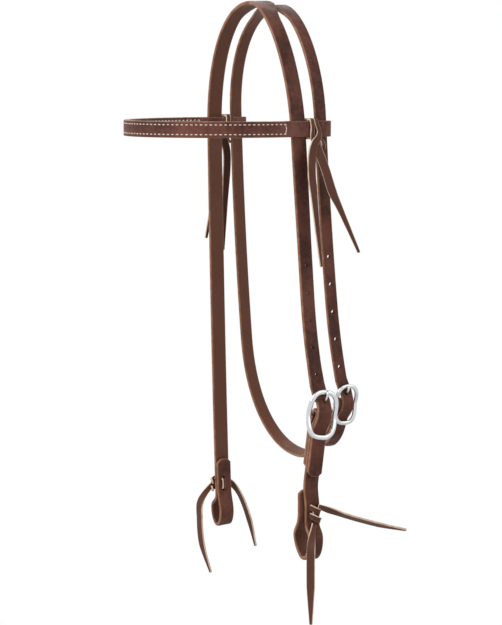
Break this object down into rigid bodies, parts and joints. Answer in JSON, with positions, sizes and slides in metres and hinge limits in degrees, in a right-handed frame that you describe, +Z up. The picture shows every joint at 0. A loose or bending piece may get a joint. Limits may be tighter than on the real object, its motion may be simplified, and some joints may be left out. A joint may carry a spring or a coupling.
{
  "type": "western headstall",
  "caption": "Leather western headstall with a split crown, browband, throatlatch, oval near-side buckles and laced bit loops.",
  "frame": {"origin": "seat of the poll: the middle of the crown, level with the underside of its two arches, where it rests behind the horse's ears", "axes": "+Z up, -Y the way the horse faces, so the browband is forward, +X the near (left) side with both buckles"},
  "size_m": [0.2291, 0.2536, 0.6037],
  "materials": {
    "bridle_leather": "oiled reddish brown bridle leather with dressed edges",
    "lining_leather": "reddish brown lining leather, grain side in",
    "lace_leather": "soft dark brown latigo lace with pale cut edges",
    "nickel": "bright nickel plate on solid cast buckles"
  },
  "bodies": {
    "headstall": {"crown": "bridle_leather", "cheek_buckle_frame": "nickel", "throat_buckle_frame": "nickel", "off_bit_lace": "lace_leather"},
    "near_cheek": {"near_cheek_strap": "bridle_leather", "near_bit_lace": "lace_leather"},
    "cheek_tongue": {"cheek_buckle_tongue": "nickel"},
    "throat_tongue": {"throat_buckle_tongue": "nickel"},
    "browband": {"browband_face": "bridle_leather", "browband_lining": "lining_leather", "near_browband_lace": "lace_leather", "off_browband_lace": "lace_leather"}
  },
  "joints": [
    {"name": "near_cheek_swing", "type": "hinge", "parent": "headstall", "child": "near_cheek", "pos_m": [0.0934, 0.013, -0.3937], "axis": [0.0081, 0.9867, -0.1624], "range_deg": [0, 6]},
    {"name": "cheek_tongue_lift", "type": "hinge", "parent": "headstall", "child": "cheek_tongue", "pos_m": [0.0934, 0.013, -0.3937], "axis": [0.0081, 0.9867, -0.1624], "range_deg": [0, 5]},
    {"name": "throat_tongue_lift", "type": "hinge", "parent": "headstall", "child": "throat_tongue", "pos_m": [0.0885, 0.0408, -0.386], "axis": [-0.0071, 0.9982, -0.059], "range_deg": [0, 5]},
    {"name": "browband_slide", "type": "slide", "parent": "headstall", "child": "browband", "axis": [0, 0, 1], "range_m": [-0.005, 0.005]}
  ]
}
